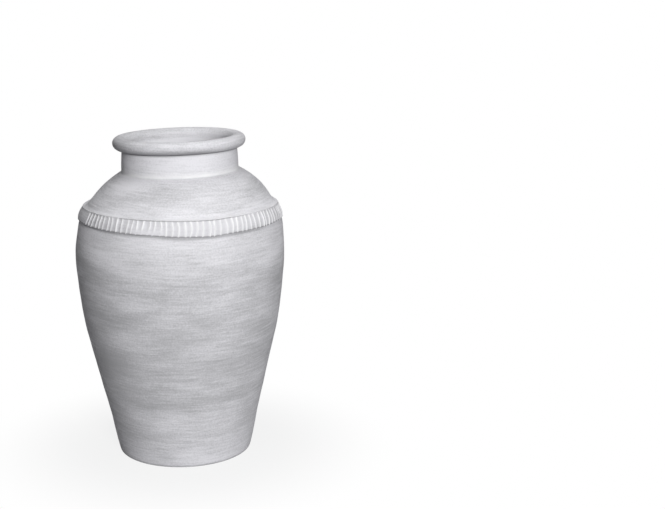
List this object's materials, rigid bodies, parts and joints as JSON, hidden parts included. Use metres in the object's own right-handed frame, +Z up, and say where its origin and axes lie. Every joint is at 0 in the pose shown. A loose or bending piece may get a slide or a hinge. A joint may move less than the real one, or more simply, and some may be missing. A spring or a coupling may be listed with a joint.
{
  "type": "storage jar",
  "caption": "Tall wide-mouthed clay jar with rolled rim, short neck, notched shoulder band and drain hole; stands on a flat foot and holds plants or water.",
  "frame": {"origin": "centre of the flat foot's underside, on the jar's axis", "axes": "+Z up the jar's axis, towards the mouth; -Y towards the side that the picture shows"},
  "size_m": [0.3909, 0.391, 0.6094],
  "materials": {
    "fired_clay": "matt limewash, brushed"
  },
  "bodies": {
    "root": {"base_slab": "fired_clay", "lower_wall": "fired_clay", "upper_wall": "fired_clay", "shoulder": "fired_clay", "neck": "fired_clay", "rim": "fired_clay", "notched_band": "fired_clay"}
  },
  "joints": []
}
